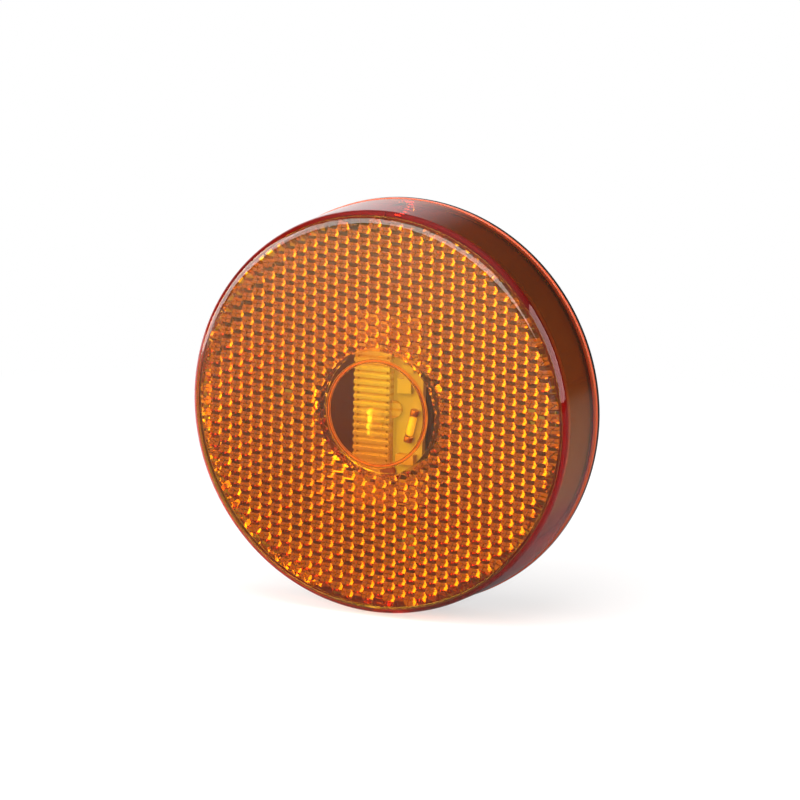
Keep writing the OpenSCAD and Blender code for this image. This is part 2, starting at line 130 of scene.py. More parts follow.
class LampSizes(bpy.types.PropertyGroup):
    """Sizes of the pieces. Those of the main forms are the same as in the solids."""

    rim_r: length("Rim radius", "Radius of the cover's front rim", 0.0325)
    depth: length("Depth", "Depth of the whole lamp", 0.014)
    face_t: length("Face", "Thickness of the cover's face", 0.0011)
    skirt_t: length("Skirt", "Thickness of the cover's skirt at the face", 0.00085)
    draft: length("Skirt draft", "How much wider the skirt is at its rear edge, outside", 0.00045)
    inner_draft: length("Inner draft", "How much wider the skirt is at its rear edge, inside", 0.0002)
    rim_round: length("Rim rounding", "Radius of the rounded front rim", 0.002)
    collar_r: length("Collar radius", "Mid radius of the collar round the clear window", 0.0085)
    collar_t: length("Collar wall", "Thickness of the collar", 0.0005)
    collar_h: length("Collar height", "How far the collar stands back from the face", 0.0008)
    rib_w: length("Key rib width", "Width of the two key ribs", 0.0022)
    plate_t: length("Reflector plate", "Thickness of the reflector plate without its prisms", 0.001)
    plate_gap: length("Plate gap", "Thin air gap between the plate and the face", 0.00005)
    edge_gap: length("Plate edge gap", "Gap between the plate's edge and the skirt", 0.00035)
    border: length("Plain border", "Plain border of the plate outside the prisms", 0.0001)
    window_r: length("Window radius", "Radius of the round hole behind the window", 0.0101)
    lining: length("Window lining", "Thickness of the plain wall round that hole", 0.0003)
    tab_w: length("Tab width", "Width of the plate's two locating tabs", 0.0023)
    pitch: length("Prism pitch", "Distance between the prisms of one column", 0.001944)
    cant: angle("Prism lean", "Angle by which the prisms lean sideways", 23.5)
    tip_flat: length("Tip flat", "How far the prisms' tips and edges are blunted", 0.00012)
    land: length("Groove land", "Width of the blunt bottom of the level grooves", 0.00048)
    flange_t: length("Flange", "Thickness of the flange behind the cover's edge", 0.0015)
    lip: length("Flange lip", "How far the flange stands out from the cover's edge", 0.0001)
    rebate: length("Rebate", "Depth of the rebate round the flange, where the cover's edge lies", 0.0002)
    rebate_z: length("Rebate height", "Height of the flange's edge behind the rebate", 0.00095)
    floor_t: length("Floor", "Thickness of the base's floor", 0.002)
    wall_t: length("Wall", "Thickness of the wall inside the cover", 0.00095)
    wall_gap: length("Wall gap", "Gap between the wall and the skirt", 0.00025)
    wall_top_gap: length("Wall top gap", "Gap between the wall and the tips of the prisms", 0.0003)
    rib_gap: length("Key gap", "Gap beside a key rib in its slot", 0.0003)
    clip_w: length("Clip window width", "Width that the clip window adds to a slot", 0.0017)
    clip_h: length("Clip window height", "Height of the clip window", 0.0026)
    hole_x: length("Hole spacing", "Distance between the mounting holes", 0.044)
    hole_r: length("Hole radius", "Radius of a mounting hole", 0.00275)
    boss_r: length("Boss radius", "Radius of a mounting boss", 0.005)
    boss_h: length("Boss height", "Height of a mounting boss above the floor", 0.0025)
    rail_h: length("Rail height", "Height of the rails beside the tray", 0.0025)
    rail_t: length("Rail thickness", "Thickness of a rail", 0.0009)
    rail_len: length("Rail length", "Length of a rail", 0.02)
    seal_w: length("Seal width", "Width of the sealing ring", 0.0007)
    inlet_drop: length("Inlet drop", "Distance of the cable inlet below the axis", 0.023)
    inlet_r: length("Inlet bore", "Radius of the grommet's bore", 0.00225)
    neck_r: length("Grommet neck", "Radius of the grommet's neck", 0.0035)
    lip_r: length("Grommet flange", "Radius of the grommet's flanges", 0.0046)
    screw_y: length("Screw distance", "Distance of the tray's screws from the middle", 0.0065)
    bar_w: length("Bar width", "Width of the fluted bar", 0.00635)
    bar_t: length("Bar thickness", "Thickness of the bar without its flutes", 0.00135)
    flute_pitch: length("Flute pitch", "Pitch of the flutes", 0.00119)
    flute_h: length("Flute height", "Height of a flute", 0.00045)
    flutes: bpy.props.IntProperty(name="Flutes", description="Number of flutes", default=14)


class LampFinish(bpy.types.PropertyGroup):
    """Colours and finishes."""

    cover: colour("Cover", "What the amber of the cover lets through", (0.987, 0.83, 0.032))
    cover_density: number("Cover density", "How strongly the cover absorbs, per metre", 1550.0)
    cover_light: colour("Light through cover", "Tint of light through its surface", (0.99, 0.97, 0.5))
    prisms: colour("Reflector", "What the amber of the reflector lets through", (0.988, 0.855, 0.03))
    prisms_density: number("Reflector density", "How strongly the reflector absorbs, per metre", 1030.0)
    prisms_light: colour("Light through reflector", "Tint of light through its surface", (0.985, 0.93, 0.45))
    amber_tint: colour("Amber surface", "Tint of the amber plastics at their surface", (1.0, 0.98, 0.92))
    ior: number("Refractive index", "Refractive index of the clear plastics", 1.49)
    shell: colour("Shell", "Reddish black plastic of base and tray", (0.042, 0.005, 0.007))
    flange: colour("Flange", "Black plastic of the flange and the back", (0.008, 0.008, 0.008))
    # Painted light: the wall's brown stands for amber light through the cover on the black plastic.
    wall: colour("Wall", "Brown shade of the wall inside the cover", (0.15, 0.042, 0.018))
    # Painted shade: the darker upper half of the wall.
    wall_top: colour("Upper wall", "The wall's darker upper half", (0.05, 0.012, 0.006))
    weld: colour("Weld", "Matt amber where the cover is welded on", (0.7, 0.17, 0.04))
    # Painted shade: the weld's darker upper half.
    weld_top_shade: colour("Upper weld", "The weld's darker upper half", (0.14, 0.02, 0.008))
    collar: colour("Collar end", "Matt amber end of the collar", (0.5, 0.2, 0.06))
    edge: colour("Cover edge", "Amber edge of the cover in the flange's rebate", (0.62, 0.1, 0.035))
    # Painted shade: the dark edge of the reflector, and the dark red left part of the wall.
    shade: colour("Reflector edge shade", "Dark edge of the reflector, and the left wall", (0.09, 0.005, 0.003))
    peg: colour("Pegs", "Ends of the tray's pegs", (0.16, 0.02, 0.01))
    rubber: colour("Rubber", "Rubber of ring and grommet", (0.03, 0.03, 0.03))
    resin: colour("Resin", "Potting resin", (0.05, 0.04, 0.03))
    board: colour("Board", "White mask of the board", (0.36, 0.35, 0.32))
    bar: colour("Bar", "Clear plastic of the fluted bar", (0.75, 0.86, 0.9))
    # Painted shade: the redder, darker lower half of the bar.
    bar_low_shade: colour("Lower bar", "Clear plastic of the bar's lower half", (0.62, 0.4, 0.4))
    # Painted shade: darker plastic in the grooves between flutes.
    bar_groove_shade: colour("Bar grooves", "Clear plastic between two flutes", (0.64, 0.4, 0.26))
    # Painted shade: the dark spots in the notches where two flute ends meet.
    bar_pit_shade: colour("Bar pits", "Sink marks where two flutes end", (0.12, 0.03, 0.02))
    package: colour("Package", "Package of the light source", (0.45, 0.45, 0.32))
    gel: colour("Gel", "Gel over the light source", (0.55, 0.32, 0.1))
    # Painted glow: also the colour that the gel's strip and the bar's streak give off, though the lamp is
    # not lit.
    phosphor: colour("Phosphor", "Bright strip in the light source", (1.0, 0.84, 0.12))
    chip: colour("Chip", "Packages of the chip and the resistors", (0.38, 0.4, 0.33))
    dark_part: colour("Dark parts", "Package of the suppressor", (0.2, 0.17, 0.1))
    ceramic: colour("Ceramic", "Body of the capacitor", (0.35, 0.24, 0.12))
    glass: colour("Diode glass", "Glass of the diode", (0.96, 0.66, 0.36))
    # Painted highlight and glow: the bright core stands in for the glass's highlight.
    diode: colour("Diode core", "Bright body inside the glass", (1.0, 0.95, 0.2))
    copper: colour("Copper", "Caps of the diode", (0.42, 0.16, 0.08))
    tin: colour("Tin", "Solder and caps", (0.7, 0.7, 0.68))
    steel: colour("Steel", "Screws", (0.6, 0.6, 0.58))


class LampStage(bpy.types.PropertyGroup):
    """Camera, floor and light."""

    azimuth: angle("Camera azimuth", "How far to the right of the face the camera stands", 24.1)
    elevation: angle("Camera height", "How far above the axis the camera stands", 11.4)
    roll: angle("Camera roll", "Roll of the camera", 1.1)
    distance: length("Camera distance", "Distance of the camera from the rim", 0.8125)
    lens: number("Lens", "Focal length in millimetres", 230.1)
    shift_x: number("Shift across", "Sideways shift of the frame", 0.0304)
    shift_y: number("Shift up", "Upward shift of the frame", 0.01765)
    floor: colour("Floor", "Colour of the floor", (0.86, 0.86, 0.86))
    floor_far: number("Floor far in front", "Light that the floor far in front gives to the lamp", 0.42)
    floor_front: number("Floor in front", "Light that the floor close in front gives to the lamp", 0.2)
    floor_back: number("Floor behind", "Light that the floor behind gives to the lamp", 0.22)
    floor_white: number("White floor", "Share of plain white in the floor, for the camera", 0.6)
    room: number("Room light", "Brightness of the plain room", 0.12)
    ceiling: number("Ceiling light", "Added brightness overhead", 0.45)
    front_tint: colour("Front tint", "Warm tint of the light in front and of the room", (1.0, 0.68, 0.6))
    front: number("Front light", "Added brightness in front", 0.49)
    side_panel: number("Side panel", "Power of the panel at the left, in watts", 3.3)
    top_panel: number("Top panel", "Power of the panel overhead, in watts", 3.6)
    front_panel: number("Front panel", "Power of the long panel in front, in watts", 6.5)
    rim_panel: number("Rim panel", "Power of the panel at the upper right, in watts", 2.6)


def millimetres():
    """The sizes in millimetres, with the heights and radii that follow from them."""
    class Sizes:
        pass

    s, group = Sizes(), bpy.context.scene.lamp_sizes
    for name in LampSizes.__annotations__:
        value = getattr(group, name)
        setattr(s, name, value if name in ("cant", "flutes") else value * 1000)
    s.face_back = s.depth - s.face_t
    s.plate_front = s.face_back - s.plate_gap
    s.plate_back = s.plate_front - s.plate_t
    s.edge_along = s.pitch / math.sqrt(6)
    s.edge_across = s.pitch / math.sqrt(3)
    s.column = s.edge_across * 1.5 / math.cos(s.cant)
    s.prism_h = 2 * s.edge_along * math.cos(s.cant) + s.edge_across * math.sin(s.cant)
    s.tip_z = s.plate_back - s.prism_h
    s.skirt_in = s.rim_r - s.skirt_t
    s.skirt_rear = s.rim_r + s.draft
    s.skirt_in_rear = s.skirt_in + s.inner_draft
    s.base_r = s.skirt_rear + s.lip
    s.wall_r = s.skirt_in - s.wall_gap
    s.wall_in = s.wall_r - s.wall_t
    s.wall_top = s.tip_z - s.wall_top_gap
    s.plate_r = s.skirt_in - s.edge_gap
    s.field_r = s.plate_r - s.border
    s.seal_r = (s.skirt_rear + s.skirt_in_rear) / 2
    return s


# Meshes are made in millimetres, with the lamp facing up, and turned into the lamp's own frame at the end.
TO_LAMP = Matrix(((0.001, 0, 0, 0), (0, 0, -0.001, 0), (0, 0.001, 0, 0), (0, 0, 0, 1)))


def local_box(node):
    """A node's box in the modelling frame, in millimetres."""
    back = TO_LAMP.inverted()
    a, b = (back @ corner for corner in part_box(node))
    return Vector(map(min, a, b)), Vector(map(max, a, b))


def mesh_object(name, verts, faces):
    mesh = bpy.data.meshes.new(name)
    mesh.from_pydata([tuple(v) for v in verts], [], faces)
    bm = bmesh.new()
    bm.from_mesh(mesh)
    bmesh.ops.recalc_face_normals(bm, faces=bm.faces)
    bm.to_mesh(mesh)
    bm.free()
    ob = bpy.data.objects.new(name, mesh)
    bpy.context.scene.collection.objects.link(ob)
    return ob


def rounded(points, steps=6, guard=0.02):
    """A closed outline of (x, y, radius) corners as plain points, with an arc at each corner
    that has a radius. A guard point beside each arc keeps the flats next to it flat when they
    are shaded smooth."""
    out = []
    for k, (x, y, radius) in enumerate(points):
        here = Vector((x, y))
        if not radius:
            out.append((x, y))
            continue
        a = (Vector(points[k - 1][:2]) - here).normalized()
        b = (Vector(points[(k + 1) % len(points)][:2]) - here).normalized()
        half = math.acos(max(-1.0, min(1.0, a.dot(b)))) / 2
        centre = here + (a + b).normalized() * (radius / math.sin(half))
        p = here + a * (radius / math.tan(half)) - centre
        q = here + b * (radius / math.tan(half)) - centre
        start, turn = math.atan2(p.y, p.x), math.atan2(q.y, q.x) - math.atan2(p.y, p.x)
        turn = (turn + math.pi) % (2 * math.pi) - math.pi
        out.append(tuple(centre + p + a * guard))
        for step in range(steps + 1):
            t = start + turn * step / steps
            out.append((centre.x + radius * math.cos(t), centre.y + radius * math.sin(t)))
        out.append(tuple(centre + q + b * guard))
    return out


def lathe(name, profile, steps=ROUND, at=(0, 0)):
    """Turns a closed (radius, height) outline about the axis at a place."""
    verts, rings = [], []
    for r, z in profile:
        if r < 1e-6:
            rings.append([len(verts)] * steps)
            verts.append((at[0], at[1], z))
            continue
        rings.append(list(range(len(verts), len(verts) + steps)))
        for k in range(steps):
            t = 2 * math.pi * k / steps
            verts.append((at[0] + r * math.cos(t), at[1] + r * math.sin(t), z))
    faces = []
    for a, b in zip(rings, rings[1:] + rings[:1]):
        for k in range(steps):
            n = (k + 1) % steps
            corners = []
            for v in (a[k], a[n], b[n], b[k]):
                if v not in corners:
                    corners.append(v)
            if len(corners) > 2:
                faces.append(corners)
    return mesh_object(name, verts, faces)


def disc(name, r, z0, z1, at=(0, 0), edge=0.0, steps=96):
    return lathe(name, rounded([(0, z0, 0), (r, z0, edge), (r, z1, edge), (0, z1, 0)], 3), steps, at)


def block(name, low, high, bevel=0.0):
    """A box from corner to corner, with its edges rounded."""
    bm = bmesh.new()
    bmesh.ops.create_cube(bm, size=1)
    low, high = Vector(low), Vector(high)
    for v in bm.verts:
        v.co = Vector(((low[k] + high[k]) / 2 + v.co[k] * (high[k] - low[k]) for k in range(3)))
    if bevel:
        bmesh.ops.bevel(bm, geom=list(bm.edges), offset=bevel, segments=3, profile=0.5, affect="EDGES")
    mesh = bpy.data.meshes.new(name)
    bm.to_mesh(mesh)
    bm.free()
    ob = bpy.data.objects.new(name, mesh)
    bpy.context.scene.collection.objects.link(ob)
    return ob


def join(ob, tool, operation="UNION"):
    """Adds a tool to a piece, or cuts it away, and removes the tool."""
    modifier = ob.modifiers.new(operation, "BOOLEAN")
    modifier.object = tool
    modifier.operation = operation
    modifier.solver = "EXACT"
    graph = bpy.context.evaluated_depsgraph_get()
    mesh = bpy.data.meshes.new_from_object(ob.evaluated_get(graph))
    ob.modifiers.clear()
    old, ob.data = ob.data, mesh
    bpy.data.meshes.remove(old)
    bpy.data.meshes.remove(tool.data)
    return ob


def cut(ob, tool):
    return join(ob, tool, "DIFFERENCE")


def smooth(mesh, degrees=30):
    mesh.polygons.foreach_set("use_smooth", [True] * len(mesh.polygons))
    mesh.set_sharp_from_angle(angle=math.radians(degrees))


def finish_piece(ob, body, material, slot, *nodes, degrees=30):
    """Turns a finished mesh into the lamp's frame and hands it to its body, in place of its solids."""
    ob.data.transform(TO_LAMP)
    ob.data.materials.clear()
    ob.data.materials.append(material)
    smooth(ob.data, degrees)
    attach(ob, body)
    if nodes:
        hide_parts(*nodes)
    return ob


def keep_solid(node, material, edge=0.0):
    """Keeps a solid's own mesh, with rounded edges and a finish."""
    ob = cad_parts[node]
    ob.data.materials.clear()
    ob.data.materials.append(material)
    if edge:
        weld = ob.modifiers.new("Weld", "WELD")
        weld.merge_threshold = 1e-6
        bevel = ob.modifiers.new("Edges", "BEVEL")
        bevel.width = edge / 1000
        bevel.segments = 2
        bevel.limit_method = "ANGLE"
        bevel.angle_limit = math.radians(35)
        bevel.harden_normals = True
    return ob


def new_material(name):
    material = bpy.data.materials.new(name)
    material.use_nodes = True
    nodes = material.node_tree.nodes
    return material, material.node_tree, nodes["Principled BSDF"], nodes["Material Output"]


def noise(tree, scale, detail):
    """Fractal noise over the piece, with its scale in features a metre."""
    where = tree.nodes.new("ShaderNodeTexCoord")
    texture = tree.nodes.new("ShaderNodeTexNoise")
    texture.inputs["Scale"].default_value = scale
    texture.inputs["Detail"].default_value = detail
    tree.links.new(where.outputs["Object"], texture.inputs["Vector"])
    return texture.outputs["Fac"]


def ranged(tree, value, low, high):
    """Maps 0 to 1 onto a range."""
    node = tree.nodes.new("ShaderNodeMapRange")
    node.inputs["To Min"].default_value = low
    node.inputs["To Max"].default_value = high
    tree.links.new(value, node.inputs["Value"])
    return node.outputs["Result"]


def bumped(tree, shader, height, distance):
    node = tree.nodes.new("ShaderNodeBump")
    node.inputs["Distance"].default_value = distance
    node.inputs["Strength"].default_value = 1.0
    tree.links.new(height, node.inputs["Height"])
    tree.links.new(node.outputs["Normal"], shader.inputs["Normal"])


def shaded(tree, shader, value, base, spread):
    """Varies a colour a little, lighter and darker, by a value from 0 to 1."""
    mix = tree.nodes.new("ShaderNodeMix")
    mix.data_type = "RGBA"
    mix.inputs["A"].default_value = (*[c * (1 - spread) for c in base], 1)
    mix.inputs["B"].default_value = (*[min(1, c * (1 + spread)) for c in base], 1)
    tree.links.new(value, mix.inputs["Factor"])
    tree.links.new(mix.outputs["Result"], shader.inputs["Base Color"])


def math_node(tree, operation, a, b=0.0, c=0.0):
    node = tree.nodes.new("ShaderNodeMath")
    node.operation = operation
    for socket, value in zip(node.inputs, (a, b, c)):
        if isinstance(value, (int, float)):
            socket.default_value = value
        else:
            tree.links.new(value, socket)
    return node.outputs["Value"]


def place(tree):
    """Where a point of the piece lies: to the right, to the rear and up, in metres."""
    split = tree.nodes.new("ShaderNodeSeparateXYZ")
    tree.links.new(tree.nodes.new("ShaderNodeTexCoord").outputs["Object"], split.inputs["Vector"])
    return split.outputs["X"], split.outputs["Y"], split.outputs["Z"]


def reach(tree, a, b):
    """Distance from the middle, over two directions at right angles."""
    squares = math_node(tree, "ADD", math_node(tree, "POWER", a, 2), math_node(tree, "POWER", b, 2))
    return math_node(tree, "SQRT", squares)


def between(tree, value, start, end, low=0.0, high=1.0):
    """Runs from low to high while the value runs from start to end."""
    result = ranged(tree, value, low, high)
    result.node.inputs["From Min"].default_value = start
    result.node.inputs["From Max"].default_value = end
    return result


def blend(tree, value, a, b):
    """Mixes two colours, or a colour and what another mix gives."""
    mix = tree.nodes.new("ShaderNodeMix")
    mix.data_type = "RGBA"
    for name, shade in (("A", a), ("B", b)):
        if isinstance(shade, bpy.types.NodeSocket):
            tree.links.new(shade, mix.inputs[name])
        else:
            mix.inputs[name].default_value = (*shade, 1)
    tree.links.new(value, mix.inputs["Factor"])
    return mix.outputs["Result"]


def recoloured(material, value, a, b):
    """Lets a material's colour run from a to b with a value, in place of its own."""
    tree = material.node_tree
    socket = tree.nodes["Principled BSDF"].inputs["Base Color"]
    for link in socket.links:
        tree.nodes.remove(link.from_node)
    tree.links.new(blend(tree, value, a, b), socket)
    return material


def set_specular(material, level):
    material.node_tree.nodes["Principled BSDF"].inputs["Specular IOR Level"].default_value = level


def moulded(name, base, rough, grain=9000.0, depth=4e-6, spread=0.12):
    """Opaque plastic or rubber with a fine moulded grain."""
    material, tree, shader, _ = new_material(name)
    fine = noise(tree, grain, 2.0)
    broad = noise(tree, 220.0, 4.0)
    shaded(tree, shader, broad, base, spread)
    tree.links.new(ranged(tree, broad, rough - 0.08, rough + 0.08), shader.inputs["Roughness"])
    bumped(tree, shader, fine, depth)
    return material


def metal(name, base, rough):
    """Plated metal with fine scratches and dull patches."""
    material, tree, shader, _ = new_material(name)
    shader.inputs["Metallic"].default_value = 1.0
    broad = noise(tree, 900.0, 5.0)
    shaded(tree, shader, broad, base, 0.15)
    tree.links.new(ranged(tree, broad, rough - 0.1, rough + 0.15), shader.inputs["Roughness"])
    bumped(tree, shader, noise(tree, 6000.0, 3.0), 3e-6)
    return material


def clear(name, tint, light, ior, density=0.0, absorbs=(1, 1, 1), wave=0.0, share=1.0):
    """Clear plastic or glass that light panels shine through. wave is the height of a slight flow
    mark in its surface, and share is how much of it is clear and not milky."""
    material, tree, shader, out = new_material(name)
    shader.inputs["Base Color"].default_value = (*tint, 1)
    shader.inputs["Transmission Weight"].default_value = share
    shader.inputs["Roughness"].default_value = 0.0
    shader.inputs["IOR"].default_value = ior
    if wave:
        bumped(tree, shader, noise(tree, 90.0, 1.0), wave)
    through = tree.nodes.new("ShaderNodeBsdfTransparent")
    through.inputs["Color"].default_value = (*light, 1)
    path = tree.nodes.new("ShaderNodeLightPath")
    mix = tree.nodes.new("ShaderNodeMixShader")
    tree.links.new(path.outputs["Is Shadow Ray"], mix.inputs["Fac"])
    tree.links.new(shader.outputs["BSDF"], mix.inputs[1])
    tree.links.new(through.outputs["BSDF"], mix.inputs[2])
    tree.links.new(mix.outputs["Shader"], out.inputs["Surface"])
    if density:
        inside = tree.nodes.new("ShaderNodeVolumeAbsorption")
        inside.inputs["Color"].default_value = (*absorbs, 1)
        inside.inputs["Density"].default_value = density
        tree.links.new(inside.outputs["Volume"], out.inputs["Volume"])
    return material


def finish():
    return bpy.context.scene.lamp_finish


class BuildCover(bpy.types.Operator):
    """Builds the amber cover: face, rounded rim, skirt, collar and key ribs"""

    bl_idname = "marker_lamp.cover"
    bl_label = "Cover"

    def ring(self, name, material, inner, low_outer, high_outer, low, high):
        """A thin ring that lies just inside the clear plastic."""
        ob = lathe(name, rounded([
            (inner, low, SKIN_ROUND), (low_outer, low, SKIN_ROUND),
            (high_outer, high, SKIN_ROUND), (inner, high, SKIN_ROUND)], 3))
        finish_piece(ob, COVER, material, "amber_cover")

    def execute(self, context):
        s, f = millimetres(), finish()
        near, far = s.collar_r - s.collar_t / 2, s.collar_r + s.collar_t / 2
        end = s.face_back - s.collar_h
        ob = lathe("lens_cover_shell", rounded([
            (0, s.depth, 0), (s.rim_r, s.depth, s.rim_round), (s.skirt_rear, s.flange_t, EDGE_ROUND),
            (s.skirt_in_rear, s.flange_t, EDGE_ROUND), (s.skirt_in, s.face_back, FACE_FILLET),
            (far, s.face_back, FILLET), (far, end, COLLAR_ROUND), (near, end, COLLAR_ROUND),
            (near, s.face_back, FILLET), (0, s.face_back, 0),
        ]))
        half, foot = s.rib_w / 2, s.floor_t + s.rib_gap
        for side in (-1, 1):
            inner, outer = sorted((side * s.wall_in, side * (s.skirt_in + RIB_ROOT)))
            join(ob, block("rib", (-half, inner, foot), (half, outer, s.wall_top), RIB_ROUND))
        amber = clear("Amber cover", f.amber_tint, f.cover_light, f.ior, f.cover_density, f.cover, wave=2e-6)
        finish_piece(ob, COVER, amber, "amber_cover", "lens_cover")
        weld = moulded("Amber weld", f.weld, 0.6)
        # Painted shade: the weld darkens towards the top.
        up, half = place(weld.node_tree)[2], s.rim_r / 2000
        weld = recoloured(weld, between(weld.node_tree, up, -half, half), f.weld, f.weld_top_shade)
        inner, outer = s.skirt_in_rear + WELD_IN, s.skirt_rear - WELD_IN
        low, high = s.flange_t + SKIN, s.flange_t + WELD_H
        self.ring("lens_cover_weld", weld, inner, outer + WELD_SLOPE, outer, low, high)
        inner, outer = near + COLLAR_SKIN_IN, far - COLLAR_SKIN_IN
        matt = moulded("Amber collar end", f.collar, 0.5)
        self.ring("lens_cover_collar_end", matt, inner, outer, outer, end + SKIN, end + COLLAR_SKIN_H)
        inner, low = s.base_r - s.rebate + HAIR, s.rebate_z + HAIR
        edge = lathe("lens_cover_edge", rounded([
            (inner, low, 0), (s.base_r, low, COVER_EDGE_ROUND),
            (s.base_r, s.flange_t, COVER_EDGE_ROUND), (inner, s.flange_t, 0)], 3))
        finish_piece(edge, COVER, moulded("Amber edge", f.edge, 0.15), "amber_cover")
        return {"FINISHED"}



class PrismField:
    """The leaning corner prisms of the reflector as one closed solid, with blunt tips and blunt
    level grooves. LEAST is how far a prism has to reach into the field to be kept, and SUNK how
    far the prisms reach into the plate, both in millimetres."""

    RIDGE, VALLEY, STEP, NOSE = range(4)
    LOW_RIDGE, HIGH_RIDGE, LOW_STEP, HIGH_STEP = range(4, 8)
    TIP_HIGH, TIP_BACK, TIP_LOW = range(8, 11)
    LEAST = 0.35
    SUNK = 0.4

    def __init__(self, s):
        self.s = s
        along, across, half = s.edge_along, s.edge_across, s.pitch / 2
        up_edge = self.lean(-across / 2, half, along)
        down_edge = self.lean(-across / 2, -half, along)
        nose_edge = self.lean(across, 0, along)
        share, blunt = s.land / s.pitch, s.tip_flat / nose_edge.length
        ridge, step = up_edge, self.lean(across / 2, half, 2 * along)
        self.spots = [
            ridge, self.lean(-across, 0, 2 * along), step, nose_edge,
            ridge - up_edge * share, ridge - down_edge * share,
            step - up_edge * share, step - down_edge * share,
            (nose_edge + up_edge) * blunt, (up_edge + down_edge) * blunt, (nose_edge + down_edge) * blunt,
        ]
        self.columns = math.ceil(s.rim_r / s.column) + 1
        self.rows = math.ceil(s.rim_r / s.pitch + self.columns / 2) + 1
        self.verts, self.faces, self.numbers = [], [], {}

    def lean(self, across, up, along):
        c, n = math.cos(self.s.cant), math.sin(self.s.cant)
        return Vector((across * c + along * n, up, along * c - across * n))

    def spot(self, kind, i, j):
        tip = Vector((i * self.s.column, (j - i / 2) * self.s.pitch, self.s.tip_z))
        return tip + self.spots[kind]

    def vertex(self, kind, i, j, root=False):
        key = (kind, i, j, root)
        if key not in self.numbers:
            p = self.spot(kind, i, j)
            if root:
                p.z = self.s.plate_back + self.SUNK
            self.numbers[key] = len(self.verts)
            self.verts.append(p)
        return self.numbers[key]

    def outline(self, i, j):
        r, v = self.RIDGE, self.VALLEY
        return [(r, i + 1, j), (v, i + 1, j + 1), (r, i, j), (v, i, j), (r, i, j - 1), (v, i + 1, j)]

    def kept(self, i, j):
        reach = [self.spot(*c).xy.length for c in self.outline(i, j)]
        return min(reach) <= self.s.field_r - self.LEAST and max(reach) > self.s.window_r

    def face(self, *corners):
        self.faces.append([self.vertex(*c) for c in corners])

    def prism(self, i, j, above, below):
        """One prism: three facets, and the two walls of the step to the next column."""
        ridge, valley, step, nose = ((k, i, j) for k in range(4))
        tip_high, tip_back, tip_low = ((k, i, j) for k in (self.TIP_HIGH, self.TIP_BACK, self.TIP_LOW))
        ridge_b, step_b = (self.RIDGE, i, j - 1), (self.STEP, i, j - 1)
        high = [(self.LOW_RIDGE, i, j), (self.LOW_STEP, i, j)] if above else [ridge, step]
        low = [(self.HIGH_RIDGE, i, j - 1), (self.HIGH_STEP, i, j - 1)] if below else [ridge_b, step_b]
        top = [high[0], ridge] if above else [ridge]
        bottom = [ridge_b, low[0]] if below else [ridge_b]
        self.face(tip_high, nose, high[1], high[0])
        self.face(tip_back, *top, valley, *bottom)
        self.face(tip_low, low[0], low[1], nose)
        self.face(tip_high, tip_back, tip_low)
        self.face(tip_high, tip_low, nose)
        self.face(tip_back, tip_high, high[0])
        self.face(tip_low, tip_back, low[0])
        top = [step, high[1]] if above else [step]
        bottom = [low[1], step_b] if below else [step_b]
        next_ridge = (self.RIDGE, i + 1, j)
        self.face(nose, next_ridge, (self.VALLEY, i + 1, j + 1), *top)
        self.face(nose, *bottom, (self.VALLEY, i + 1, j), next_ridge)
        if above:
            a, b = (self.HIGH_RIDGE, i, j), (self.HIGH_STEP, i, j)
            self.face(high[0], high[1], b, a)
            self.face(ridge, high[0], a)
            self.face(step, b, high[1])

    def solid(self, name):
        cells = {
            (i, j)
            for i in range(-self.columns, self.columns + 1)
            for j in range(-self.rows, self.rows + 1)
            if self.kept(i, j)
        }
        around = [(1, 1), (0, 1), (-1, 0), (-1, -1), (0, -1), (1, 0)]
        for i, j in sorted(cells):
            self.prism(i, j, (i, j + 1) in cells, (i, j - 1) in cells)
            corners = self.outline(i, j)
            self.faces.append([self.vertex(*c, True) for c in reversed(corners)])
            middles = {1: (self.STEP, i, j), 4: (self.STEP, i, j - 1)}
            for k, (di, dj) in enumerate(around):
                if (i + di, j + dj) in cells:
                    continue
                a, b = corners[k], corners[(k + 1) % 6]
                lower = [a, middles[k], b] if k in middles else [a, b]
                upper = [self.vertex(*b, True), self.vertex(*a, True)]
                self.faces.append(upper + [self.vertex(*c) for c in lower])
        return mesh_object(name, self.verts, self.faces)


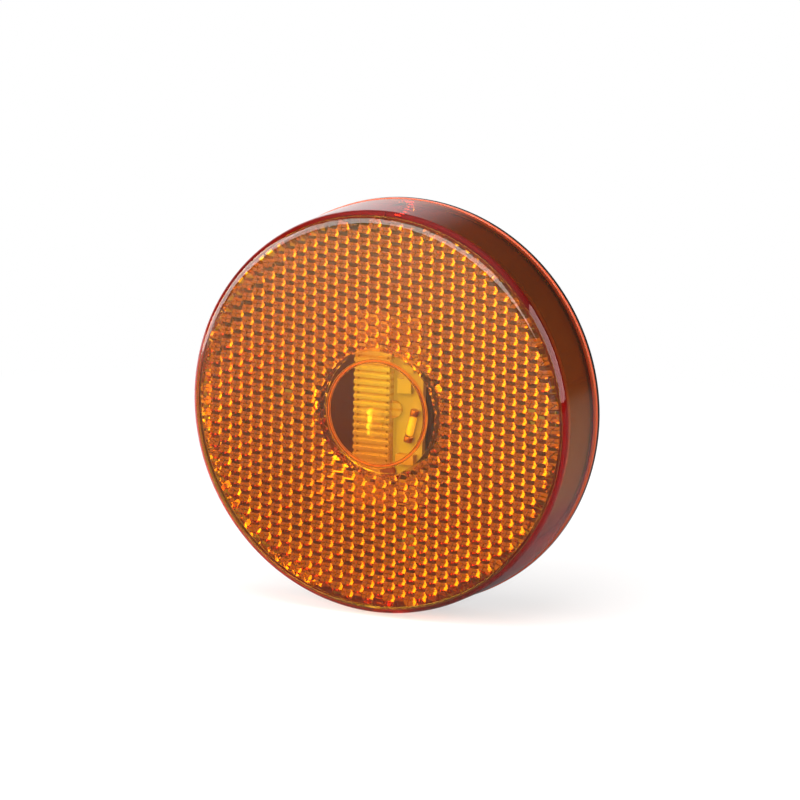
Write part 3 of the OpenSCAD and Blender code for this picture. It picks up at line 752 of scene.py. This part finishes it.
class BuildReflector(bpy.types.Operator):
    """Builds the reflector plate with its ring of leaning corner prisms"""

    bl_idname = "marker_lamp.reflector"
    bl_label = "Reflector"

    def execute(self, context):
        s, f = millimetres(), finish()
        ob = PrismField(s).solid("reflex_plate")
        plate = disc("plate", s.plate_r, s.plate_back + HAIR, s.plate_front, edge=PLATE_ROUND, steps=ROUND)
        half, low, high = s.tab_w / 2, s.plate_back + 2 * HAIR, s.plate_front - HAIR
        for side in (-1, 1):
            inner, outer = sorted((side * s.field_r, side * (s.skirt_in - TAB_GAP)))
            join(plate, block("tab", (-half, inner, low), (half, outer, high), FINE_ROUND))
        join(ob, disc("field", s.field_r, s.tip_z - PAST, s.plate_front, steps=ROUND), "INTERSECT")
        join(ob, plate)
        near, far = s.window_r - s.lining, s.window_r + s.lining
        low, high = s.tip_z + LINING_STEP, s.plate_back + s.lining
        join(ob, lathe("lining", [(near, low), (far, low), (far, high), (near, high)]))
        cut(ob, disc("hole", s.window_r, s.tip_z - PAST, s.plate_front + PAST, steps=ROUND))
        amber = clear("Amber reflector", f.amber_tint, f.prisms_light, f.ior, f.prisms_density, f.prisms)
        finish_piece(ob, COVER, amber, "amber_reflector", "reflex_insert", degrees=8)
        self.paint_edge_shade(s, f, ob)
        return {"FINISHED"}

    def paint_edge_shade(self, s, f, ob):
        """Paints shade on the plate's edge, and on the cut sides of the prisms but for those at the left,
        which show through the rim: a dark material that stands in for shade where the prisms fail to
        reflect."""
        dark = moulded("Darkened edge", f.shade, 0.6)
        set_specular(dark, 0.0)
        ob.data.materials.append(dark)
        plate_edge, prism_edge = s.field_r + 2 * HAIR, s.field_r - 3 * HAIR
        for face in ob.data.polygons:
            out = Vector((face.center.x, 0, face.center.z)) * 1000
            start = prism_edge if out.x > -s.rim_r / 3 else plate_edge
            if out.length > start and abs(face.normal.dot(out.normalized())) > 0.5:
                face.material_index = 1


class BuildBase(bpy.types.Operator):
    """Builds the black base: flange, wall with key slots, floor, bosses and rails"""

    bl_idname = "marker_lamp.base"
    bl_label = "Base"

    def execute(self, context):
        s = millimetres()
        low, groove, inset = s.flange_t - s.seal_w, s.seal_w / 2, s.base_r - s.rebate
        ob = lathe("base_shell", rounded([
            (0, 0, 0), (s.base_r, 0, BACK_ROUND), (s.base_r, s.rebate_z, FINE_ROUND), (inset, s.rebate_z, 0),
            (inset, s.flange_t, FINE_ROUND), (s.seal_r + groove, s.flange_t, 0),
            (s.seal_r + groove, low, 0), (s.seal_r - groove, low, 0), (s.seal_r - groove, s.flange_t, 0),
            (s.wall_r, s.flange_t, FILLET), (s.wall_r, s.wall_top, EDGE_ROUND),
            (s.wall_in, s.wall_top, EDGE_ROUND), (s.wall_in, s.floor_t, FLOOR_FILLET), (0, s.floor_t, 0),
        ], 4))
        low, high = local_box("module_tray")
        tray_half = (high.x - low.x) / 2 + FIT
        foot, boss_top, rail_top = s.floor_t - ROOT, s.floor_t + s.boss_h, s.floor_t + s.rail_h
        for side in (-1, 1):
            join(ob, disc("boss", s.boss_r, foot, boss_top, (side * s.hole_x / 2, 0), BOSS_ROUND))
            near, far = sorted((side * tray_half, side * (tray_half + s.rail_t)))
            half = s.rail_len / 2
            join(ob, block("rail", (near, -half, foot), (far, half, rail_top), EDGE_ROUND))
        for side in (-1, 1):
            half, clip = s.rib_w / 2 + s.rib_gap, s.clip_w
            inner, outer = sorted((side * (s.wall_in - ROOT), side * (s.wall_r + FIT)))
            cut(ob, block("slot", (-half, inner, s.floor_t + HAIR / 2), (half, outer, s.wall_top + PAST)))
            left, right = (-half, half + clip) if side > 0 else (-half - clip, half)
            cut(ob, block("clip", (left, inner, s.floor_t + HAIR), (right, outer, s.floor_t + s.clip_h)))
            cut(ob, disc("hole", s.hole_r, -PAST, boss_top + PAST, (side * s.hole_x / 2, 0)))
            screw = (0, side * s.screw_y)
            cut(ob, disc("head", SCREW_HEAD_R, -PAST, SCREW_HEAD_T, screw))
            cut(ob, disc("shank", SCREW_HOLE_R, ROOT, s.floor_t + PAST, screw))
        inlet = (0, -s.inlet_drop)
        cut(ob, disc("neck", s.neck_r + FIT, -PAST, s.floor_t + PAST, inlet))
        cut(ob, disc("flange", s.lip_r + FIT, -PAST, GROMMET_LIP_T, inlet))
        finish_piece(ob, LAMP, self.plastic(s, finish()), "black_shell", "base")
        return {"FINISHED"}

    def plastic(self, s, f):
        """Black at the back and the flange. On the wall painted light: its brown stands for amber light
        through the cover, its darker upper half is painted shade, and its dark red at the left is painted
        shade."""
        shell = moulded("Black shell", f.shell, 0.42)
        set_specular(shell, 0.15)
        tree = shell.node_tree
        x, y, z = place(tree)
        rim_r, wall_r, wall_in, floor_t = (size / 1000 for size in (s.rim_r, s.wall_r, s.wall_in, s.floor_t))
        # Painted light and shade: brown wall for amber light through the cover, darker above as painted
        # shade.
        wall = blend(tree, between(tree, z, -rim_r / 4, rim_r / 1.5), f.wall, f.wall_top)
        # Painted shade: the wall's left part is dark red.
        wall = blend(tree, between(tree, x, -rim_r / 1.3, -rim_r / 2.6), f.shade, wall)
        out = reach(tree, x, z)
        inside = blend(tree, between(tree, out, wall_in - 1e-4, wall_in), f.shell, wall)
        flange = between(tree, out, wall_r + 2e-5, wall_r + 6e-5)
        rear = between(tree, y, -floor_t, -floor_t / 1.25)
        return recoloured(shell, math_node(tree, "MAXIMUM", flange, rear), inside, f.flange)


class BuildSeals(bpy.types.Operator):
    """Builds the sealing ring and the cable grommet"""

    bl_idname = "marker_lamp.seals"
    bl_label = "Ring and grommet"

    def execute(self, context):
        s = millimetres()
        rubber = moulded("Seal rubber", finish().rubber, 0.62, grain=5000.0, depth=6e-6)
        a, b, low = s.seal_r - s.seal_w / 2, s.seal_r + s.seal_w / 2, s.flange_t - s.seal_w
        ring = lathe("lens_seal_ring", rounded([
            (a, low, FILLET), (b, low, FILLET),
            (b, s.flange_t, SEAL_ROUND), (a, s.flange_t, SEAL_ROUND)], 4))
        finish_piece(ring, LAMP, rubber, "seal_rubber", "lens_seal")
        low, high = local_box("cable_grommet")
        nose = s.floor_t + (high.z - s.floor_t) / 2
        profile = rounded([
            (s.inlet_r, low.z, GROMMET_ROUND), (s.lip_r, low.z, GROMMET_ROUND),
            (s.lip_r, GROMMET_LIP_T, FILLET), (s.neck_r, GROMMET_LIP_T, 0),
            (s.neck_r, s.floor_t, 0), (s.lip_r, s.floor_t, FILLET), (s.lip_r, nose, GROMMET_ROUND),
            (s.neck_r, high.z, SEAL_ROUND), (s.inlet_r, high.z, GROMMET_ROUND)], 4)
        grommet = lathe("cable_grommet_body", profile, 128, (0, -s.inlet_drop))
        finish_piece(grommet, LAMP, rubber, "seal_rubber", "cable_grommet")
        return {"FINISHED"}



class BuildTray(bpy.types.Operator):
    """Finishes the tray, its resin and its screws"""

    bl_idname = "marker_lamp.tray"
    bl_label = "Tray"

    def execute(self, context):
        f = finish()
        tray = moulded("Tray plastic", f.shell, 0.4)
        rear = place(tray.node_tree)[1]
        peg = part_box("module_tray")[0].y + PEG_END / 1000
        ends = between(tray.node_tree, rear, peg, peg + 1e-4)
        keep_solid("module_tray", recoloured(tray, ends, f.peg, f.shell), 0.1)
        keep_solid("potting", moulded("Potting resin", f.resin, 0.2, grain=400.0, depth=2e-5))
        keep_solid("tray_screws", metal("Screw steel", f.steel, 0.35), 0.06)
        return {"FINISHED"}


class BuildBar(bpy.types.Operator):
    """Builds the clear fluted bar in front of the light source"""

    bl_idname = "marker_lamp.bar"
    bl_label = "Fluted bar"

    # Flutes overlap a little, so each is wider than half its pitch to either side.
    FLUTE_HALF = 0.51
    FLUTE_STEPS = 20
    # The painted shade on the plastic, in metres: where the redder, darker lower half fades, and the half
    # size of the dark spots at the flute ends.
    LOW_FADE = (-0.007, 0.006)
    PIT_WIDTH, PIT_HEIGHT = 0.16e-3, 0.2e-3
    PIT_FADE = (0.5, 1.4)
    # The painted streak of glow, in metres: half its width and length, its drop below the source, and its
    # sway.
    STREAK_WIDTH = (0.12e-3, 0.34e-3)
    STREAK_LENGTH = (1.7e-3, 2.1e-3)
    STREAK_DROP = 0.9e-3
    STREAK_FLUTE = (0.05e-3, 0.25e-3)
    SWAY, SWAY_RATE = 0.1e-3, 2600.0

    def flute(self, s, y, left, right, top, foot):
        """A lying rib with round ends, a little wider than its pitch."""
        half, steps = s.flute_pitch * self.FLUTE_HALF, self.FLUTE_STEPS
        r = (half * half + s.flute_h * s.flute_h) / (2 * s.flute_h)
        verts, faces = [], []
        for k in range(steps + 1):
            u = -half + 2 * half * k / steps
            inset = half - math.sqrt(max(0.0, half * half - u * u))
            z = top - r + math.sqrt(r * r - u * u)
            a, b = left + inset, right - inset
            verts += [(a, y + u, z), (b, y + u, z), (b, y + u, foot), (a, y + u, foot)]
        for k in range(steps):
            a, b = 4 * k, 4 * k + 4
            faces += [[a + n, a + (n + 1) % 4, b + (n + 1) % 4, b + n] for n in range(4)]
        faces += [[0, 1, 2, 3], [4 * steps + n for n in (3, 2, 1, 0)]]
        return mesh_object("flute", verts, faces)

    def execute(self, context):
        s = millimetres()
        low, high = local_box("fluted_bar")
        left, right, foot, top = low.x, low.x + s.bar_w, low.z, high.z
        ob = block("fluted_bar_clear", (left, low.y, foot), (right, high.y, foot + s.bar_t), 3 * HAIR)
        for k in range(s.flutes):
            y = (k - (s.flutes - 1) / 2) * s.flute_pitch
            join(ob, self.flute(s, y, left, right, top, foot + s.bar_t / 2))
        join(ob, disc("lug", LUG_R, foot, foot + LUG_T, (right + LUG_OUT, 0), FILLET, 64))
        a, b = local_box("led_body")
        room = Vector((POCKET_GAP, POCKET_GAP))
        near, far = a.xy - room, b.xy + room
        cut(ob, block("pocket", (*near, foot - PAST), (*far, foot + POCKET_H), FILLET))
        for side in (-1, 1):
            peg = (right - PEG_IN, side * PEG_Y)
            cut(ob, disc("peg", PEG_HOLE_R, foot - PAST, top + PAST, peg, steps=48))
        material = self.plastic(s, finish(), left, right, (a + b) / 2000)
        finish_piece(ob, LAMP, material, "clear_bar", "fluted_bar", degrees=25)
        return {"FINISHED"}

    def plastic(self, s, f, left, right, source):
        """Clear plastic with painted shade, redder and darker below and in the grooves, with two rows of
        dark spots where two flute ends meet, and a painted streak of glow.
        """
        bar = clear("Clear bar", f.bar, f.bar, f.ior, share=0.75)
        tree = bar.node_tree
        x, _, z = place(tree)
        pitch = s.flute_pitch / 1000
        off = math_node(tree, "ABSOLUTE", math_node(tree, "WRAP", z, pitch / 2, -pitch / 2))
        # Painted shade: the lower half redder and darker.
        plain = blend(tree, between(tree, z, *self.LOW_FADE), f.bar_low_shade, f.bar)
        # Painted shade: darker in the grooves between flutes.
        grooved = blend(tree, between(tree, off, 0.0, 0.24 * pitch), f.bar_groove_shade, plain)
        # Painted shade: two rows of dark spots where flute ends meet.
        pits = None
        for at in (left + 0.75, right - 0.5):
            far = math_node(tree, "DIVIDE", math_node(tree, "SUBTRACT", x, at / 1000), self.PIT_WIDTH)
            high = math_node(tree, "DIVIDE", off, self.PIT_HEIGHT)
            gap = math_node(tree, "ADD", math_node(tree, "POWER", far, 2), math_node(tree, "POWER", high, 2))
            pit = between(tree, gap, *self.PIT_FADE, 1.0, 0.0)
            pits = math_node(tree, "MAXIMUM", pits, pit) if pits else pit
        # Painted light: a glowing streak in the bar.
        self.paint_glow_streak(f, tree, x, z, off, source)
        return recoloured(bar, pits, grooved, f.bar_pit_shade)

    def paint_glow_streak(self, f, tree, x, z, off, source):
        """A painted glowing streak in the bar's emission, in place of light spread by the bar in front of
        its light source, which is not lit.
        """
        wave = math_node(tree, "SINE", math_node(tree, "MULTIPLY", z, self.SWAY_RATE))
        sway = math_node(tree, "MULTIPLY", wave, self.SWAY)
        aside = math_node(tree, "SUBTRACT", math_node(tree, "SUBTRACT", x, source.x), sway)
        aside = math_node(tree, "ABSOLUTE", aside)
        below = math_node(tree, "ABSOLUTE", math_node(tree, "SUBTRACT", z, source.y - self.STREAK_DROP))
        streak = math_node(tree, "MULTIPLY", between(tree, aside, *self.STREAK_WIDTH, 1.0, 0.0),
                           between(tree, below, *self.STREAK_LENGTH, 1.0, 0.0))
        streak = math_node(tree, "MULTIPLY", streak, between(tree, off, *self.STREAK_FLUTE, 0.3, 0.8))
        shader = tree.nodes["Principled BSDF"]
        shader.inputs["Emission Color"].default_value = (*f.phosphor, 1)
        tree.links.new(streak, shader.inputs["Emission Strength"])



class BuildLightUnit(bpy.types.Operator):
    """Finishes the board and what is soldered to it"""

    bl_idname = "marker_lamp.light_unit"
    bl_label = "Light unit"

    def execute(self, context):
        f = finish()
        mask = moulded("Board mask", f.board, 0.35, grain=3000.0, depth=2e-6, spread=0.05)
        keep_solid("circuit_board", mask, 0.08)
        keep_solid("led_body", moulded("Light source package", f.package, 0.4), 0.06)
        keep_solid("driver_chip", moulded("Chip package", f.chip, 0.45), 0.08)
        keep_solid("resistors", moulded("Resistor body", f.chip, 0.35), 0.06)
        keep_solid("suppressor", moulded("Suppressor body", f.dark_part, 0.5), 0.1)
        keep_solid("bulk_capacitor", moulded("Fired ceramic", f.ceramic, 0.4), 0.08)
        low, high = local_box("led_dome")
        r, h = (high.x - low.x) / 2, high.z - low.z
        ball = (r * r + h * h) / (2 * h)
        dome = lathe("led_gel", [(0, low.z)] + [
            (ball * math.sin(t), high.z - ball + ball * math.cos(t))
            for t in (math.asin(r / ball) * (1 - k / 10) for k in range(11))
        ], 64, ((low.x + high.x) / 2, (low.y + high.y) / 2))
        gel = moulded("Phosphor gel", f.gel, 0.2, grain=3000.0, depth=2e-6)
        tree, shader = gel.node_tree, gel.node_tree.nodes["Principled BSDF"]
        middle = (low.x + high.x) / 2000
        off = math_node(tree, "ABSOLUTE", math_node(tree, "SUBTRACT", place(tree)[0], middle))
        # Painted glow: the gel's middle strip gives off light, though the lamp is not lit.
        strip = between(tree, off, 0.25e-3, 0.45e-3, 1.0, 0.0)
        shader.inputs["Emission Color"].default_value = (*f.phosphor, 1)
        tree.links.new(math_node(tree, "MULTIPLY", strip, 0.9), shader.inputs["Emission Strength"])
        finish_piece(dome, LAMP, recoloured(gel, strip, f.gel, f.phosphor), "led_gel", "led_dome")
        keep_solid("glass_diode", clear("Diode glass", f.glass, f.glass, 1.5))
        self.diode_core(f)
        keep_solid("diode_caps", metal("Copper caps", f.copper, 0.35), 0.06)
        keep_solid("solder_joints", metal("Bright tin", f.tin, 0.25))
        return {"FINISHED"}

    def diode_core(self, f):
        """The bright, slightly glowing body in the diode's glass, a rod with round ends: a painted highlight
        and glow.
        """
        low, high = local_box("glass_diode")
        r, half = CORE_R, CORE_HALF
        rod = [(0, -half - r)]
        for height, degrees in ((-half, range(-75, 1, 15)), (half, range(0, 76, 15))):
            for t in map(math.radians, degrees):
                rod.append((r * math.cos(t), height + r * math.sin(t)))
        ob = lathe("diode_core", rod + [(0, half + r)], 48)
        lie = Matrix.Rotation(CORE_TURN, 4, "Z") @ Matrix.Rotation(math.radians(90), 4, "X")
        ob.data.transform(Matrix.Translation((low + high) / 2) @ lie)
        core = moulded("Diode core", f.diode, 0.4)
        shader = core.node_tree.nodes["Principled BSDF"]
        # Painted glow: the core gives off light though the lamp is not lit.
        shader.inputs["Emission Color"].default_value = (*f.diode, 1)
        shader.inputs["Emission Strength"].default_value = 0.4
        finish_piece(ob, LAMP, core, "diode_glass")


class BuildStage(bpy.types.Operator):
    """Sets the floor, the light and the camera"""

    bl_idname = "marker_lamp.stage"
    bl_label = "Stage"

    # Light from the room: a direction, and the cosines between which it rises.
    OVERHEAD = ((0, 0, 1), 0.5, 0.95)
    AHEAD = ((0.4, -0.9, 0.2), 0.3, 0.9)
    BACKDROP = ((-0.46, 0.89, -0.03), 0.82, 0.99)
    # Where the floor changes, in metres: in front of the lamp, under it, round it and to its left.
    FRONT_FADE = (-0.3, -0.08)
    UNDER_FADE = (-0.02, 0.01)
    ROUND_FADE = (0.05, 0.2)
    LEFT_FADE = (-0.06, -0.02)
    FLOOR_HALF = 3
    # The place and the size of each light panel, in metres.
    SIDE_PANEL = ((-0.55, -0.24, 0.125), (0.4, 0.4))
    TOP_PANEL = ((0.0, -0.25, 0.6), (0.6, 0.4))
    FRONT_PANEL = ((-0.22, -0.6, 0.26), (0.8, 0.42))
    RIM_PANEL = ((0.55, 0.06, 0.22), (0.62, 0.44))
    # The point on the lamp's axis that the camera looks at, in metres.
    AIM = (0, -0.0134, 0)

    def panel(self, name, place, size, power):
        light = bpy.data.lights.new(name, "AREA")
        light.shape = "RECTANGLE"
        light.size, light.size_y = size
        light.energy = power
        ob = bpy.data.objects.new(name, light)
        ob.location = place
        ob.rotation_euler = (-Vector(place)).to_track_quat("-Z", "Y").to_euler()
        ob.visible_camera = False
        bpy.context.scene.collection.objects.link(ob)
        return ob

    def lobe(self, tree, where, toward, start, end, amount):
        """Brightness that rises towards one direction."""
        dot = tree.nodes.new("ShaderNodeVectorMath")
        dot.operation = "DOT_PRODUCT"
        dot.inputs[1].default_value = Vector(toward).normalized()
        tree.links.new(where, dot.inputs[0])
        rise = tree.nodes.new("ShaderNodeMapRange")
        rise.interpolation_type = "SMOOTHSTEP"
        rise.inputs["From Min"].default_value = start
        rise.inputs["From Max"].default_value = end
        rise.inputs["To Max"].default_value = amount
        tree.links.new(dot.outputs["Value"], rise.inputs["Value"])
        return rise.outputs["Result"]

    def world(self, stage):
        """A dim room, brighter overhead and in front, and plain white behind the lamp for the camera."""
        world = bpy.data.worlds.new("Plain room")
        bpy.context.scene.world = world
        world.use_nodes = True
        tree = world.node_tree
        tree.nodes.clear()
        where = tree.nodes.new("ShaderNodeTexCoord").outputs["Generated"]
        overhead = self.lobe(tree, where, *self.OVERHEAD, stage.ceiling)
        ahead = self.lobe(tree, where, *self.AHEAD, stage.front)
        light = math_node(tree, "ADD", math_node(tree, "ADD", overhead, ahead), stage.room)
        room, white = (tree.nodes.new("ShaderNodeBackground") for _ in range(2))
        tree.links.new(light, room.inputs["Strength"])
        warm = math_node(tree, "SUBTRACT", 1.0, math_node(tree, "DIVIDE", overhead, light))
        tree.links.new(blend(tree, warm, (1, 1, 1), stage.front_tint), room.inputs["Color"])
        white.inputs["Color"].default_value = (1, 1, 1, 1)
        backdrop = self.lobe(tree, where, *self.BACKDROP, 1.0)
        shades = room.outputs["Background"], white.outputs["Background"]
        self.by_camera(tree, shades, backdrop, tree.nodes.new("ShaderNodeOutputWorld"))

    def by_camera(self, tree, shades, backdrop, out):
        """Shows the second shade to the camera, and where the backdrop is also in gloss.
        Everything else, also what is seen through clear pieces, gets the first shade."""
        path = tree.nodes.new("ShaderNodeLightPath")
        mix = tree.nodes.new("ShaderNodeMixShader")
        glossy, through = path.outputs["Is Glossy Ray"], path.outputs["Is Transmission Ray"]
        mirrored = math_node(tree, "MULTIPLY", math_node(tree, "GREATER_THAN", glossy, through), backdrop)
        shown = math_node(tree, "MAXIMUM", path.outputs["Is Camera Ray"], mirrored)
        tree.links.new(shown, mix.inputs["Fac"])
        tree.links.new(shades[0], mix.inputs[1])
        tree.links.new(shades[1], mix.inputs[2])
        tree.links.new(mix.outputs["Shader"], out.inputs["Surface"])

    def floor(self, stage):
        """A pale floor, white but for the shadow to the camera, which gives the lamp less light."""
        z, half = CAD_BOX[0][2], self.FLOOR_HALF
        corners = [(-half, -half, z), (half, -half, z), (half, half, z), (-half, half, z)]
        ob = mesh_object("Floor", corners, [[0, 1, 2, 3]])
        material, tree, pale, out = new_material("Pale floor")
        pale.inputs["Base Color"].default_value = (*stage.floor, 1)
        pale.inputs["Roughness"].default_value = 0.8
        dim = tree.nodes.new("ShaderNodeBsdfDiffuse")
        x, y, _ = place(tree)
        ahead = between(tree, y, *self.FRONT_FADE, stage.floor_far, stage.floor_front)
        split = between(tree, y, *self.UNDER_FADE)
        tree.links.new(ahead, split.node.inputs["To Min"])
        split.node.inputs["To Max"].default_value = stage.floor_back
        tree.links.new(split, dim.inputs["Color"])
        white = tree.nodes.new("ShaderNodeEmission")
        share = between(tree, reach(tree, x, y), *self.ROUND_FADE, stage.floor_white, 1.0)
        shown = tree.nodes.new("ShaderNodeMixShader")
        tree.links.new(share, shown.inputs["Fac"])
        tree.links.new(pale.outputs["BSDF"], shown.inputs[1])
        tree.links.new(white.outputs["Emission"], shown.inputs[2])
        left, behind = between(tree, x, *self.LEFT_FADE, 1.0, 0.0), between(tree, y, *self.UNDER_FADE)
        backdrop = math_node(tree, "MULTIPLY", left, behind)
        self.by_camera(tree, (dim.outputs["BSDF"], shown.outputs["Shader"]), backdrop, out)
        ob.data.materials.append(material)

    def camera(self, stage):
        a, e = stage.azimuth, stage.elevation
        back = Vector((math.sin(a) * math.cos(e), -math.cos(a) * math.cos(e), math.sin(e)))
        data = bpy.data.cameras.new("Camera")
        ob = bpy.data.objects.new("Camera", data)
        bpy.context.scene.collection.objects.link(ob)
        bpy.context.scene.camera = ob
        turn = (-back).to_track_quat("-Z", "Y").to_matrix().to_4x4() @ Matrix.Rotation(stage.roll, 4, "Z")
        ob.matrix_world = Matrix.Translation(Vector(self.AIM) + back * stage.distance) @ turn
        data.sensor_width = 36
        data.lens = stage.lens
        data.shift_x, data.shift_y = stage.shift_x, stage.shift_y
        data.clip_start, data.clip_end = 0.01, 20

    def execute(self, context):
        stage = context.scene.lamp_stage
        self.world(stage)
        self.floor(stage)
        self.panel("Side panel", *self.SIDE_PANEL, stage.side_panel)
        self.panel("Top panel", *self.TOP_PANEL, stage.top_panel).visible_glossy = False
        self.panel("Front panel", *self.FRONT_PANEL, stage.front_panel)
        self.panel("Rim panel", *self.RIM_PANEL, stage.rim_panel)
        self.camera(stage)
        cycles = context.scene.cycles
        cycles.max_bounces = 24
        cycles.glossy_bounces = 16
        cycles.transmission_bounces = 24
        cycles.transparent_max_bounces = 24
        context.scene.view_settings.view_transform = "Standard"
        return {"FINISHED"}


BUILDERS = (
    BuildCover, BuildReflector, BuildBase, BuildSeals, BuildTray, BuildBar, BuildLightUnit, BuildStage,
)
GROUPS = {"lamp_sizes": LampSizes, "lamp_finish": LampFinish, "lamp_stage": LampStage}


class MarkerLampPanel(bpy.types.Panel):
    """Lists the builders and what they use"""

    bl_idname = "VIEW3D_PT_marker_lamp"
    bl_label = "Marker Lamp"
    bl_space_type = "VIEW_3D"
    bl_region_type = "UI"
    bl_category = "Marker Lamp"

    def draw(self, context):
        for builder in BUILDERS:
            self.layout.operator(builder.bl_idname)
        for name, group in GROUPS.items():
            box = self.layout.box()
            for prop in group.__annotations__:
                box.prop(getattr(context.scene, name), prop)


CLASSES = (*GROUPS.values(), *BUILDERS, MarkerLampPanel)


def register():
    for cls in CLASSES:
        bpy.utils.register_class(cls)
    for name, group in GROUPS.items():
        setattr(bpy.types.Scene, name, bpy.props.PointerProperty(type=group))


def unregister():
    for name in GROUPS:
        delattr(bpy.types.Scene, name)
    for cls in reversed(CLASSES):
        bpy.utils.unregister_class(cls)


def main():
    register()
    for builder in BUILDERS:
        getattr(bpy.ops.marker_lamp, builder.bl_idname.split(".")[1])()


if __name__ == "__main__":
    main()
